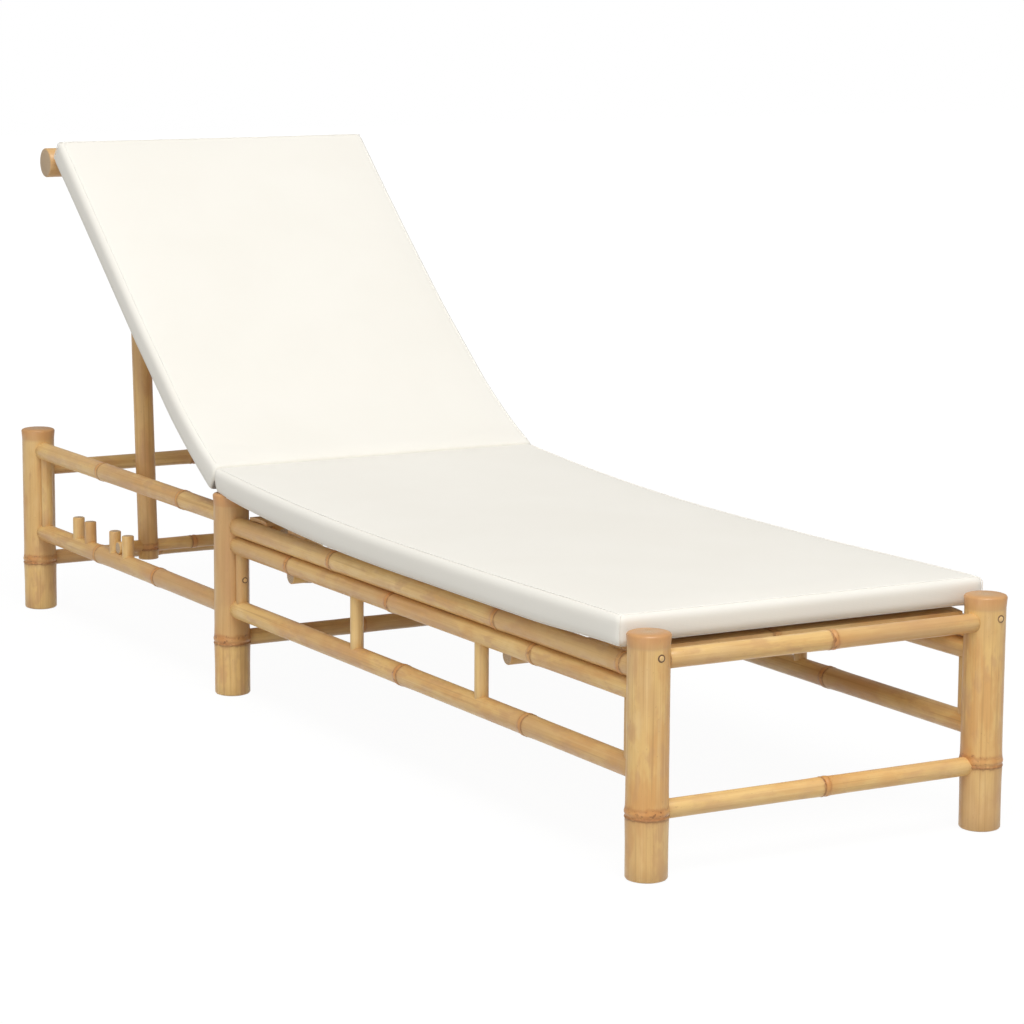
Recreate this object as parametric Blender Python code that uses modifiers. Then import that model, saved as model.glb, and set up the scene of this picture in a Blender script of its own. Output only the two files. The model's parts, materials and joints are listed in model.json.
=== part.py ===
"""Sun lounger of bamboo poles: a frame on six legs, a hinged back, a folding prop and a cushion.

Metres. The origin is on the floor under the middle of the lounger. +Z is up and +Y runs from
the foot end to the head end. The back stands as photographed, held up by the prop.
"""

import math

import bpy
from mathutils import Matrix, Vector

# Fits. A pole is coped to sit against its neighbour with GAP between the two.
GAP = 0.0003
RING_RISE = 0.0005
RING_HALF = 0.0055
TURNING_FIT = 0.0006

# Legs, in two bays: the seat's and the head's.
LEG_R = 0.027
LEG_TALL = 0.312
LEG_X = 0.257
SEAT_LONG = 1.198
HEAD_LONG = 0.777
FOOT_Y = -(SEAT_LONG + HEAD_LONG) / 2
MIDDLE_Y = FOOT_Y + SEAT_LONG
HEAD_Y = MIDDLE_Y + HEAD_LONG

# Side rails, in the planes of the legs. The upper ones lie this far below the legs' tops.
RAIL_R = 0.0147
LOW_RAIL_Z = 0.135
HEAD_RAIL_DOWN = 0.0367
HEAD_RAIL_Z = LEG_TALL - HEAD_RAIL_DOWN
SEAT_RAIL_R = 0.0145
SEAT_RAIL_DOWN = 0.049
SEAT_RAIL_Z = LEG_TALL - SEAT_RAIL_DOWN
SECOND_RAIL_R = 0.014
SECOND_RAIL_Z = SEAT_RAIL_Z - SEAT_RAIL_R - SECOND_RAIL_R - RING_RISE - GAP

# Sticks between the side rails.
STICK_R = 0.0097
CORNER_OFFSET = LEG_R + STICK_R + RING_RISE + GAP
SPINDLES_Y = (FOOT_Y + SEAT_LONG * 0.3487, FOOT_Y + SEAT_LONG * 0.6515)

# Cross rails and the ties under the seat.
CROSS_R = 0.0125
FOOT_CROSS_DOWN = 0.035
FOOT_CROSS_FORWARD = 0.006
HEAD_CROSS_DOWN = 0.069
LOW_CROSS_Z = 0.0858
TIES_Y = (FOOT_Y + SEAT_LONG * 0.3047, FOOT_Y + SEAT_LONG * 0.8456)
TIE_DOWN = 0.0207
TIE_Z = SECOND_RAIL_Z - TIE_DOWN
TIE_SHORT = 0.007
TIE_HALF = LEG_X - TIE_SHORT

# Hinge of the back, on the middle legs' centre plane.
HINGE_DOWN = 0.054
HINGE_Z = LEG_TALL - HINGE_DOWN
HINGE_R = 0.010
HINGE_DEPTH = 0.020
HINGE_HALF = LEG_X - LEG_R + HINGE_DEPTH

# Back, measured from the hinge along the poles (s) and square to them towards the front (q).
RECLINE = math.radians(37.9)
POLE_R = 0.0165
POLE_INSET = 0.081
POLE_X = LEG_X - POLE_INSET
POLE_TAIL = 0.024
BAR_R = 0.024
BAR_PAST = 0.025
BAR_HALF = LEG_X + BAR_PAST
BAR_S = 0.8389
BACK_SLAT_PAST = 0.048
BACK_SLAT_HALF = POLE_X + BACK_SLAT_PAST

# Prop. It stands on the lower rails of the head bay, between the pegs.
PIVOT_S = 0.5652
PIVOT_R = 0.007
PROP_R = 0.0165
PROP_X = POLE_X + POLE_R + PROP_R + RING_RISE + GAP
PROP_LEAN = math.radians(3.0)
PROP_TAIL = 0.022
PROP_ROD_R = 0.010
PROP_ROD_CLEARANCE = 0.001
PROP_ROD_HALF = LEG_X - RAIL_R - RING_RISE - PROP_ROD_CLEARANCE
PROP_ROD_Z = LOW_RAIL_Z + RAIL_R + PROP_ROD_R + GAP
PROP_LONG = (HINGE_Z + PIVOT_S * math.sin(RECLINE) - PROP_ROD_Z) / math.cos(PROP_LEAN)
PROP_ROD_Y = MIDDLE_Y + PIVOT_S * math.cos(RECLINE) - PROP_LONG * math.sin(PROP_LEAN)

# Pegs that stop the prop rod: a pair for each slot, glued into the lower rails.
PEG_R = 0.010
PEG_RISE = 0.049
PEG_TOP_Z = LOW_RAIL_Z + PEG_RISE
SLOT_STEP = 0.1538
FIRST_SLOT = 0.0545
SECOND_SLOT = 0.0507
PEGS_Y = (
    PROP_ROD_Y - FIRST_SLOT / 2,
    PROP_ROD_Y + FIRST_SLOT / 2,
    PROP_ROD_Y + SLOT_STEP - SECOND_SLOT / 2,
    PROP_ROD_Y + SLOT_STEP + SECOND_SLOT / 2,
)

# Slats of split bamboo.
SLAT_WIDE = 0.058
SLAT_THICK = 0.0055
SLAT_ARCH = 0.0018
SADDLE = 0.0008
SEAT_SLAT_SHORT = 0.004
SEAT_SLAT_HALF = LEG_X - SEAT_SLAT_SHORT
SEAT_SLATS = 9
SEAT_SLAT_START = 0.072
SEAT_SLAT_END = 0.086
SEAT_SLAT_PITCH = (SEAT_LONG - SEAT_SLAT_START - SEAT_SLAT_END) / (SEAT_SLATS - 1)
SEAT_SLAT_Z = SEAT_RAIL_Z + SEAT_RAIL_R - SADDLE
SEAT_BED_Z = SEAT_SLAT_Z + SLAT_THICK + SLAT_ARCH + GAP
BACK_SLAT_Q = POLE_R - SADDLE
BACK_BED_Q = BACK_SLAT_Q + SLAT_THICK + SLAT_ARCH + GAP
BACK_SLATS = (0.1335, 0.2766, 0.4196, 0.5626, 0.7844, 0.9036)

# Cushion. The seat part ends and the back part starts at the fold, over the middle legs.
CUSHION_PAST = 0.023
CUSHION_HALF = LEG_X + CUSHION_PAST
CUSHION_DRAW = 0.003
EDGE_ROUND = 0.006
EDGE_IN = 0.0014
END_ROUND = 0.034
END_INSET = 0.010
SEAT_START_PAST = 0.0334
SEAT_START = FOOT_Y + SEAT_START_PAST
SEAT_FOOT_RISE = 0.014
SEAT_FOLD_RISE = 0.0335
SEAT_FOOT_TIP = 0.006
SEAT_CROWN = 0.007
FOLD_PAST = 0.0163
FOLD_Y = MIDDLE_Y + FOLD_PAST
FOLD_CLEARANCE = 0.0038
FOLD_LOW_Z = LEG_TALL + FOLD_CLEARANCE
BACK_FOLD_S = 0.0577
FOLD_GAP = 0.0130
BACK_START_S = BACK_FOLD_S + FOLD_GAP
BACK_END_SHORT = 0.0189
BACK_END_S = BAR_S - BACK_END_SHORT
BACK_FRONT_Q = 0.059
BACK_FRONT_FULL = 0.004
BACK_CROWN = 0.006
BACK_LOW_Q = 0.035
FOLD_SLANT = 0.93

BAMBOO = (0.73, 0.49, 0.24, 1.0)
BAMBOO_DARK = (0.50, 0.30, 0.14, 1.0)
FABRIC = (0.90, 0.88, 0.82, 1.0)

for old in list(bpy.data.objects):
    bpy.data.objects.remove(old, do_unlink=True)

LOUNGER = bpy.data.collections.new("Sun lounger")
CUTTERS = bpy.data.collections.new("Cutters")
bpy.context.scene.collection.children.link(LOUNGER)
bpy.context.scene.collection.children.link(CUTTERS)
CUTTERS.hide_render = True

SHAPES = {}
TOOLS = {}


def material(name, colour, roughness):
    made = bpy.data.materials.new(name)
    made.use_nodes = True
    made.diffuse_color = colour
    shader = made.node_tree.nodes["Principled BSDF"]
    shader.inputs["Base Color"].default_value = colour
    shader.inputs["Roughness"].default_value = roughness
    return made


def show(obj, colour, roughness):
    """Puts a finished piece into the lounger's collection with its own material."""
    obj.data.materials.append(material(obj.name, colour, roughness))
    LOUNGER.objects.link(obj)


def hide(obj):
    obj.hide_render = True
    obj.display_type = "WIRE"
    CUTTERS.objects.link(obj)


def outline(length, radius, rings, edge, dome, grow):
    """Half outline of a pole as (radius, height), from the middle of one end to the other's."""
    full = radius + grow
    points = [(0.0, -grow), (full - edge, -grow), (full, edge - grow)]
    for ring in sorted(rings):
        points.append((full, ring - RING_HALF))
        points.append((full + RING_RISE, ring))
        points.append((full, ring + RING_HALF))
    if dome:
        base = length - radius
        for step in range(5):
            turn = math.radians(90.0 * step / 5)
            points.append((full * math.cos(turn), base + full * math.sin(turn)))
    else:
        points.append((full, length + grow - edge))
        points.append((full - edge, length + grow))
    points.append((0.0, length + grow))
    return points


def lathe(name, start, end, points, sides):
    """Turns an outline about the line from start to end into a closed body."""
    mesh = bpy.data.meshes.new(name)
    edges = [(i, i + 1) for i in range(len(points) - 1)]
    mesh.from_pydata([(r, 0.0, h) for r, h in points], edges, [])
    obj = bpy.data.objects.new(name, mesh)
    turn = (end - start).to_track_quat("Z", "Y").to_matrix().to_4x4()
    obj.matrix_world = Matrix.Translation(start) @ turn
    screw = obj.modifiers.new("turn", "SCREW")
    screw.axis = "Z"
    screw.steps = sides
    screw.render_steps = sides
    screw.use_merge_vertices = True
    screw.merge_threshold = 0.00002
    screw.use_smooth_shade = True
    screw.use_normal_calculate = True
    return obj


def culm(name, start, end, radius, rings=(), sides=14, edge=0.0012, dome=False, dark=False):
    """A bamboo pole with its node rings, given as shares of its length from start."""
    start = Vector(start)
    end = Vector(end)
    marks = tuple((end - start).length * ring for ring in rings)
    SHAPES[name] = (start, end, radius, marks, sides, edge, dome)
    points = outline((end - start).length, radius, marks, edge, dome, 0.0)
    obj = lathe(name, start, end, points, sides)
    show(obj, BAMBOO_DARK if dark else BAMBOO, 0.42)
    return obj


def tool(name, grow):
    """The pole of that name, thicker by grow all round, as a cutter."""
    if (name, grow) not in TOOLS:
        start, end, radius, rings, sides, edge, dome = SHAPES[name]
        points = outline((end - start).length, radius, rings, edge, dome, grow)
        obj = lathe(f"cut_{name}_{len(TOOLS)}", start, end, points, sides)
        hide(obj)
        TOOLS[(name, grow)] = obj
    return TOOLS[(name, grow)]


def combine(obj, other, operation):
    step = obj.modifiers.new(f"{operation.lower()} {other.name}", "BOOLEAN")
    step.operation = operation
    step.solver = "EXACT"
    step.object = other


def cope(obj, *neighbours):
    """Cuts the piece to sit against its neighbours, GAP away."""
    for name in neighbours:
        combine(obj, tool(name, GAP), "DIFFERENCE")


def bore(obj, name):
    """Drills the piece for a rod that it turns on."""
    combine(obj, tool(name, TURNING_FIT), "DIFFERENCE")


def slat(name, half, across, up, middle):
    """A split bamboo strip across the lounger, hollow side down. It is saddled over the poles."""
    mesh = bpy.data.meshes.new(name)
    steps = 4
    lower = []
    upper = []
    for i in range(steps + 1):
        side = 2.0 * i / steps - 1.0
        rise = SLAT_ARCH * (1.0 - side * side)
        lower.append(middle + across * (side * SLAT_WIDE / 2) + up * rise)
        upper.append(middle + across * (side * SLAT_WIDE / 2) + up * (rise + SLAT_THICK))
    loop = lower + upper[::-1]
    count = len(loop)
    corners = [p - Vector((half, 0.0, 0.0)) for p in loop]
    corners += [p + Vector((half, 0.0, 0.0)) for p in loop]
    faces = [tuple(range(count - 1, -1, -1)), tuple(range(count, 2 * count))]
    for i in range(count):
        j = (i + 1) % count
        faces.append((i, j, j + count, i + count))
    mesh.from_pydata(corners, [], faces)
    obj = bpy.data.objects.new(name, mesh)
    show(obj, BAMBOO, 0.5)
    return obj


def smooth(t):
    t = min(1.0, max(0.0, t))
    return t * t * (3.0 - 2.0 * t)


def ring_of(half, low, high, crown, fullness):
    """One closed loop (x, height) round a stuffed cushion. Fullness under 1 draws it to the middle."""
    middle = (low + high) / 2
    right = []
    across = half - EDGE_ROUND
    parts = 6
    for i in range(parts + 1):
        f = i / parts
        right.append((across * f, high + crown * (1.0 - f ** 2.5)))
    right.append((half - EDGE_IN, high - EDGE_ROUND * 0.75))
    right.append((half, middle))
    right.append((half - EDGE_IN, low + EDGE_ROUND * 0.75))
    for i in range(parts, -1, -1):
        right.append((across * i / parts, low))
    left = [(-x, h) for x, h in right[-2:0:-1]]
    return [(x, middle + (h - middle) * fullness) for x, h in right + left]


def cushion(name, stations, place):
    """Skins closed loops, one at each station, into a cushion. place maps (x, along, height)."""
    corners = []
    for along, slant, loop in stations:
        middle = sum(h for _, h in loop) / len(loop)
        corners += [place(x, along + slant * (h - middle), h) for x, h in loop]
    count = len(stations[0][2])
    rows = len(stations)
    faces = [tuple(range(count - 1, -1, -1)), tuple(range((rows - 1) * count, rows * count))]
    for row in range(rows - 1):
        for i in range(count):
            j = (i + 1) % count
            a = row * count
            b = a + count
            faces.append((a + i, a + j, b + j, b + i))
    mesh = bpy.data.meshes.new(name)
    mesh.from_pydata(corners, [], faces)
    mesh.shade_smooth()
    obj = bpy.data.objects.new(name, mesh)
    show(obj, FABRIC, 0.85)
    return obj


def spread(first, last, count):
    """Places for the loops: close together where the ends are rounded, even in between."""
    near = (0.0, 0.12, 0.38, 1.0)
    places = [(first + END_ROUND * n, n) for n in near]
    inner = last - first - 2 * END_ROUND
    for i in range(1, count):
        places.append((first + END_ROUND + inner * i / count, 1.0))
    places += [(last - END_ROUND * n, n) for n in near[::-1]]
    return places


def drawn(near):
    """(fullness, inset) of a loop that lies this share of the rounding away from the end."""
    return 0.42 + 0.58 * (1.0 - (1.0 - near) ** 2) ** 0.5, END_INSET * (1.0 - near) ** 2


# Frame: legs. Sides are named as in the photo: left is at -X.
SIDES = (("left", -1.0), ("right", 1.0))
for side, sign in SIDES:
    x = sign * LEG_X
    for place_name, y in (("foot", FOOT_Y), ("middle", MIDDLE_Y), ("head", HEAD_Y)):
        rings = (0.282 + 0.013 * sign, 0.957)
        culm(f"leg_{place_name}_{side}", (x, y, 0), (x, y, LEG_TALL), LEG_R, rings, 18, 0.003)

# Frame: side rails from leg to leg.
for side, sign in SIDES:
    x = sign * LEG_X
    shift = 0.0 if sign < 0 else 0.046
    foot = f"leg_foot_{side}"
    middle = f"leg_middle_{side}"
    head = f"leg_head_{side}"
    rails = (
        ("rail_seat_top", SEAT_RAIL_Z, SEAT_RAIL_R, (0.038, 0.301, 0.702), foot, middle),
        ("rail_seat_second", SECOND_RAIL_Z, SECOND_RAIL_R, (0.222, 0.553, 0.819), foot, middle),
        ("rail_seat_lower", LOW_RAIL_Z, RAIL_R, (0.240, 0.529), foot, middle),
        ("rail_head_upper", HEAD_RAIL_Z, RAIL_R, (0.215, 0.626), middle, head),
        ("rail_head_lower", LOW_RAIL_Z, RAIL_R, (0.342, 0.646), middle, head),
    )
    for name, z, radius, rings, first, second in rails:
        y0 = SHAPES[first][0].y
        y1 = SHAPES[second][0].y
        marks = [ring + shift for ring in rings]
        rail = culm(f"{name}_{side}", (x, y0, z), (x, y1, z), radius, marks)
        if name == "rail_head_lower":
            for number, y in enumerate(PEGS_Y):
                points = outline(PEG_TOP_Z - LOW_RAIL_Z, PEG_R, (), 0.002, False, 0.0)
                base = Vector((x, y, LOW_RAIL_Z))
                peg = lathe(f"peg_{side}_{number}", base, Vector((x, y, PEG_TOP_Z)), points, 12)
                hide(peg)
                combine(rail, peg, "UNION")
        cope(rail, first, second)

# Frame: sticks beside the legs and spindles, coped between two rails.
for side, sign in SIDES:
    x = sign * LEG_X
    low_seat = f"rail_seat_lower_{side}"
    low_head = f"rail_head_lower_{side}"
    sticks = (
        ("stick_foot", FOOT_Y + CORNER_OFFSET, low_seat, f"rail_seat_second_{side}"),
        ("spindle_foot", SPINDLES_Y[0], low_seat, f"rail_seat_second_{side}"),
        ("spindle_middle", SPINDLES_Y[1], low_seat, f"rail_seat_second_{side}"),
        ("stick_middle_front", MIDDLE_Y - CORNER_OFFSET, low_seat, f"rail_seat_second_{side}"),
        ("stick_middle_rear", MIDDLE_Y + CORNER_OFFSET, low_head, f"rail_head_upper_{side}"),
        ("stick_head", HEAD_Y - CORNER_OFFSET, low_head, f"rail_head_upper_{side}"),
    )
    for name, y, below, above in sticks:
        z0 = SHAPES[below][0].z
        z1 = SHAPES[above][0].z
        stick = culm(f"{name}_{side}", (x, y, z0), (x, y, z1), STICK_R, (), 12)
        cope(stick, below, above)

# Frame: cross rails between the legs, and ties under the seat.
crosses = (
    ("cross_foot_upper", FOOT_Y - FOOT_CROSS_FORWARD, LEG_TALL - FOOT_CROSS_DOWN, "foot", (0.51,)),
    ("cross_foot_lower", FOOT_Y, LOW_CROSS_Z, "foot", (0.504,)),
    ("cross_middle_lower", MIDDLE_Y, LOW_CROSS_Z, "middle", (0.370, 0.782)),
    ("cross_head_upper", HEAD_Y, LEG_TALL - HEAD_CROSS_DOWN, "head", (0.272, 0.710)),
    ("cross_head_lower", HEAD_Y, LOW_CROSS_Z, "head", (0.418, 0.837)),
)
for name, y, z, legs, rings in crosses:
    rail = culm(name, (-LEG_X, y, z), (LEG_X, y, z), CROSS_R, rings)
    cope(rail, f"leg_{legs}_left", f"leg_{legs}_right")
for name, y in zip(("tie_foot", "tie_middle"), TIES_Y):
    tie = culm(name, (-TIE_HALF, y, TIE_Z), (TIE_HALF, y, TIE_Z), CROSS_R, (0.34, 0.69))
    cope(tie, "rail_seat_second_left", "rail_seat_second_right")

# Frame: the hinge rod, let into the middle legs.
HINGE = Vector((0.0, MIDDLE_Y, HINGE_Z))
ends = Vector((HINGE_HALF, 0.0, 0.0))
culm("hinge_rod", HINGE - ends, HINGE + ends, HINGE_R, (), 14, 0.001, False, True)
for side, sign in SIDES:
    cope(bpy.data.objects[f"leg_middle_{side}"], "hinge_rod")

# Frame: seat slats.
for number in range(SEAT_SLATS):
    y = FOOT_Y + SEAT_SLAT_START + number * SEAT_SLAT_PITCH
    place_of = Vector((0.0, y, SEAT_SLAT_Z))
    forward = Vector((0.0, 1.0, 0.0))
    up = Vector((0.0, 0.0, 1.0))
    strip = slat(f"seat_slat_{number + 1}", SEAT_SLAT_HALF, forward, up, place_of)
    cope(strip, "rail_seat_top_left", "rail_seat_top_right")

# Frame: the seat part of the cushion. It lies on the slats and rises over the middle legs.
seat_stations = []
for y, near in spread(SEAT_START, FOLD_Y, 18):
    fullness, inset = drawn(near)
    t = (y - SEAT_START) / (FOLD_Y - SEAT_START)
    lift = smooth((t - 0.50) / 0.47) * (FOLD_LOW_Z - SEAT_BED_Z)
    tip = SEAT_FOOT_TIP * (1.0 - smooth(t / 0.10))
    high = LEG_TALL + SEAT_FOOT_RISE + (SEAT_FOLD_RISE - SEAT_FOOT_RISE) * t
    half = CUSHION_HALF - inset - CUSHION_DRAW * 4.0 * t * (1.0 - t)
    crown = SEAT_CROWN * (4.0 * t * (1.0 - t)) ** 0.3
    if t > 0.5:
        fullness = 1.0 - (1.0 - fullness) * 0.5
    loop = ring_of(half, SEAT_BED_Z + lift + tip, high, crown, fullness)
    seat_stations.append((y, 0.087 * smooth((t - 0.9) / 0.1), loop))
cushion("cushion_seat", seat_stations, lambda x, y, z: (x, y, z))

# Back: poles on the hinge rod, with the top bar on their ends.
ALONG = Vector((0.0, math.cos(RECLINE), math.sin(RECLINE)))
FRONT = Vector((0.0, -math.sin(RECLINE), math.cos(RECLINE)))
bar_middle = HINGE + ALONG * BAR_S
reach = Vector((BAR_HALF, 0.0, 0.0))
marks = (0.209, 0.518, 0.793)
backrest = [culm("top_bar", bar_middle - reach, bar_middle + reach, BAR_R, marks, 18, 0.003)]
for side, sign in SIDES:
    step = Vector((sign * POLE_X, 0.0, 0.0))
    low_end = HINGE + step - ALONG * POLE_TAIL
    marks = (0.174 + 0.035 * sign, 0.487 + 0.023 * sign, 0.852)
    pole = culm(f"back_pole_{side}", low_end, HINGE + step + ALONG * BAR_S, POLE_R, marks)
    cope(pole, "top_bar")
    bore(pole, "hinge_rod")
    backrest.append(pole)

# Back: slats, and the back part of the cushion.
for number, share in enumerate(BACK_SLATS):
    place_of = HINGE + ALONG * (BAR_S * share) + FRONT * BACK_SLAT_Q
    strip = slat(f"back_slat_{number + 1}", BACK_SLAT_HALF, ALONG, FRONT, place_of)
    cope(strip, "back_pole_left", "back_pole_right")
    backrest.append(strip)
back_stations = []
for s, near in spread(BACK_START_S, BACK_END_S, 14):
    fullness, inset = drawn(near)
    t = (s - BACK_START_S) / (BACK_END_S - BACK_START_S)
    low = BACK_BED_Q + (BACK_LOW_Q - BACK_BED_Q) * (1.0 - smooth(t / 0.33))
    high = BACK_FRONT_Q + BACK_FRONT_FULL * (1.0 - smooth(t / 0.8))
    half = CUSHION_HALF - inset - CUSHION_DRAW * 4.0 * t * (1.0 - t)
    crown = BACK_CROWN * (4.0 * t * (1.0 - t)) ** 0.3
    if t < 0.5:
        fullness = 1.0 - (1.0 - fullness) * 0.5
    loop = ring_of(half, low, high, crown, fullness)
    back_stations.append((s, FOLD_SLANT * (1.0 - smooth(t / 0.12)), loop))
backrest.append(
    cushion(
        "cushion_back",
        back_stations,
        lambda x, s, q: Vector((x, 0.0, 0.0)) + HINGE + ALONG * s + FRONT * q,
    )
)

# Prop: two uprights on a pivot rod through the poles, and the rod that rests between the pegs.
PIVOT = HINGE + ALONG * PIVOT_S
PROP_UP = Vector((0.0, math.sin(PROP_LEAN), math.cos(PROP_LEAN)))
PROP_FOOT = PIVOT - PROP_UP * PROP_LONG
pin = Vector((PROP_X + PROP_R + 0.001, 0.0, 0.0))
backrest.append(culm("pivot_rod", PIVOT - pin, PIVOT + pin, PIVOT_R, (), 12, 0.001, False, True))
span = Vector((PROP_ROD_HALF, 0.0, 0.0))
prop = [culm("prop_rod", PROP_FOOT - span, PROP_FOOT + span, PROP_ROD_R, (), 14, 0.001)]
for side, sign in SIDES:
    cope(bpy.data.objects[f"back_pole_{side}"], "pivot_rod")
    step = Vector((sign * PROP_X, 0.0, 0.0))
    bottom = PROP_FOOT + step - PROP_UP * PROP_TAIL
    top = PIVOT + step + PROP_UP * PROP_R
    marks = (0.248 + 0.041 * sign, 0.681)
    upright = culm(f"prop_upright_{side}", bottom, top, PROP_R, marks, 14, 0.0012, True)
    cope(upright, "prop_rod")
    bore(upright, "pivot_rod")
    prop.append(upright)

# The moving pieces hang on empties that stand on their joint axes.
for name, axis, pieces in (("backrest_axis", HINGE, backrest), ("prop_axis", PIVOT, prop)):
    empty = bpy.data.objects.new(name, None)
    empty.location = axis
    LOUNGER.objects.link(empty)
    for piece in pieces:
        piece.parent = empty
        piece.matrix_parent_inverse = Matrix.Translation(-axis)
bpy.data.objects["prop_axis"].parent = bpy.data.objects["backrest_axis"]
bpy.data.objects["prop_axis"].matrix_parent_inverse = Matrix.Translation(-HINGE)
bpy.context.view_layer.update()
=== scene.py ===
"""Bamboo sun lounger: the finished poles, slats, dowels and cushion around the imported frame."""

import json
import math
import random

import bmesh
import bpy
from mathutils import Matrix, Vector

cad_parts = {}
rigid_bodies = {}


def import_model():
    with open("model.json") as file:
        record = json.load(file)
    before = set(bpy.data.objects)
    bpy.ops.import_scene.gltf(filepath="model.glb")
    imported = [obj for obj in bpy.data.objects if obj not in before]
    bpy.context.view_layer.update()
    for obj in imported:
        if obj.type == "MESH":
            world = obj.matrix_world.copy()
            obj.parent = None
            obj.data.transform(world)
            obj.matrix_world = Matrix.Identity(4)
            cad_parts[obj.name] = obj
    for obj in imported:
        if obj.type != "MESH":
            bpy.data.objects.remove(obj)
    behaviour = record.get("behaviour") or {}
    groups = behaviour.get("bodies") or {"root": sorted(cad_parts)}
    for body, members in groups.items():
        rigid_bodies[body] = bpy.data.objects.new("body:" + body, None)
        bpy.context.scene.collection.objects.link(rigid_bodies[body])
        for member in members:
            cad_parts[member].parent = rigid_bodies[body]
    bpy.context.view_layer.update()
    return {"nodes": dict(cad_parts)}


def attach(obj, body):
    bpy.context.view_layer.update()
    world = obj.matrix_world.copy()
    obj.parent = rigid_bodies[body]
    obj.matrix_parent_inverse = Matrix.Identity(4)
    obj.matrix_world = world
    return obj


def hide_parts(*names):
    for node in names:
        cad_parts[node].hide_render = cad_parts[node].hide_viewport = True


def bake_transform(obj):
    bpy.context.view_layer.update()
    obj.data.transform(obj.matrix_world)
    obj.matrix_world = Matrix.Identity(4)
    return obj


for startup in list(bpy.data.objects):
    bpy.data.objects.remove(startup, do_unlink=True)

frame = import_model()


# Studio. A camera with a long lens looks down the lounger from the foot end's left, over a
# plain white floor. A broad lamp from above the foot end, a weaker one from the left and an
# even white sky light it softly.
LENS_MM = 120.566
SENSOR_MM = 36.0
SIGHT_END = 60.0
CAMERA_PLACE = (-2.4446, -4.4680, 1.1505)
CAMERA_HEADING = -29.805
CAMERA_DOWN = 9.554
CAMERA_ROLL = 0.301
WHITE = (1.0, 1.0, 1.0, 1.0)
SKY_SHOWN = 1.0
SKY_LIGHT = 0.38
FLOOR_HALF = 14.0
FLOOR_MATT = (0.62, 0.62, 0.61, 1.0)
FLOOR_GLOW = 1.05
GLOW_NEAR = 0.91
GLOW_FAR = 1.0
NEAR_REACH = 1.4
FAR_REACH = 3.6

scene = bpy.context.scene
scene.view_settings.view_transform = "Standard"

camera_data = bpy.data.cameras.new("camera")
camera_data.lens = LENS_MM
camera_data.sensor_width = SENSOR_MM
camera_data.clip_end = SIGHT_END
camera = bpy.data.objects.new("camera", camera_data)
scene.collection.objects.link(camera)
heading = Matrix.Rotation(math.radians(CAMERA_HEADING), 4, "Z")
tilt = Matrix.Rotation(math.radians(90.0 - CAMERA_DOWN), 4, "X")
roll = Matrix.Rotation(math.radians(CAMERA_ROLL), 4, "Z")
camera.matrix_world = Matrix.Translation(CAMERA_PLACE) @ heading @ tilt @ roll
scene.camera = camera


def softbox(name, place, target, size, power):
    """A square area lamp that faces its target."""
    data = bpy.data.lights.new(name, "AREA")
    data.shape = "SQUARE"
    data.size = size
    data.energy = power
    lamp = bpy.data.objects.new(name, data)
    scene.collection.objects.link(lamp)
    lamp.location = place
    lamp.rotation_euler = (Vector(target) - Vector(place)).to_track_quat("-Z", "Y").to_euler()


softbox("front lamp", place=(-2.0, -5.2, 10.2), target=(0.0, 0.1, 0.3), size=6.0, power=915.0)
softbox("left lamp", place=(-8.0, -4.6, 2.5), target=(0.0, 0.0, 0.2), size=3.8, power=82.0)

# The sky looks white to the camera, and lights the lounger less.
world = bpy.data.worlds.new("studio sky")
scene.world = world
world.use_nodes = True
sky = world.node_tree
sky.nodes.clear()
sky_out = sky.nodes.new("ShaderNodeOutputWorld")
sky_shown = sky.nodes.new("ShaderNodeBackground")
sky_light = sky.nodes.new("ShaderNodeBackground")
for background, strength in ((sky_shown, SKY_SHOWN), (sky_light, SKY_LIGHT)):
    background.inputs["Color"].default_value = WHITE
    background.inputs["Strength"].default_value = strength
sky_path = sky.nodes.new("ShaderNodeLightPath")
sky_mix = sky.nodes.new("ShaderNodeMixShader")
sky.links.new(sky_path.outputs["Is Camera Ray"], sky_mix.inputs[0])
sky.links.new(sky_light.outputs[0], sky_mix.inputs[1])
sky.links.new(sky_shown.outputs[0], sky_mix.inputs[2])
sky.links.new(sky_mix.outputs[0], sky_out.inputs["Surface"])

# The floor is matt to the light. The camera sees it mostly as plain white, and the faint
# shadow in what is left, which fades out away from the lounger.
floor_mesh = bmesh.new()
bmesh.ops.create_grid(floor_mesh, x_segments=1, y_segments=1, size=FLOOR_HALF)
floor_data = bpy.data.meshes.new("floor")
floor_mesh.to_mesh(floor_data)
floor_mesh.free()
floor = bpy.data.objects.new("floor", floor_data)
scene.collection.objects.link(floor)
floor_paint = bpy.data.materials.new("floor paint")
floor_paint.use_nodes = True
paint = floor_paint.node_tree
paint.nodes.clear()
paint_out = paint.nodes.new("ShaderNodeOutputMaterial")
paint_matt = paint.nodes.new("ShaderNodeBsdfDiffuse")
paint_matt.inputs["Color"].default_value = FLOOR_MATT
paint_white = paint.nodes.new("ShaderNodeEmission")
paint_white.inputs["Strength"].default_value = FLOOR_GLOW
paint_place = paint.nodes.new("ShaderNodeTexCoord")
paint_reach = paint.nodes.new("ShaderNodeVectorMath")
paint_reach.operation = "LENGTH"
paint_fade = paint.nodes.new("ShaderNodeMapRange")
paint_fade.inputs["From Min"].default_value = NEAR_REACH
paint_fade.inputs["From Max"].default_value = FAR_REACH
paint_fade.inputs["To Min"].default_value = GLOW_NEAR
paint_fade.inputs["To Max"].default_value = GLOW_FAR
paint_shown = paint.nodes.new("ShaderNodeMixShader")
paint.links.new(paint_place.outputs["Object"], paint_reach.inputs[0])
paint.links.new(paint_reach.outputs["Value"], paint_fade.inputs["Value"])
paint.links.new(paint_fade.outputs["Result"], paint_shown.inputs[0])
paint.links.new(paint_matt.outputs[0], paint_shown.inputs[1])
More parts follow.
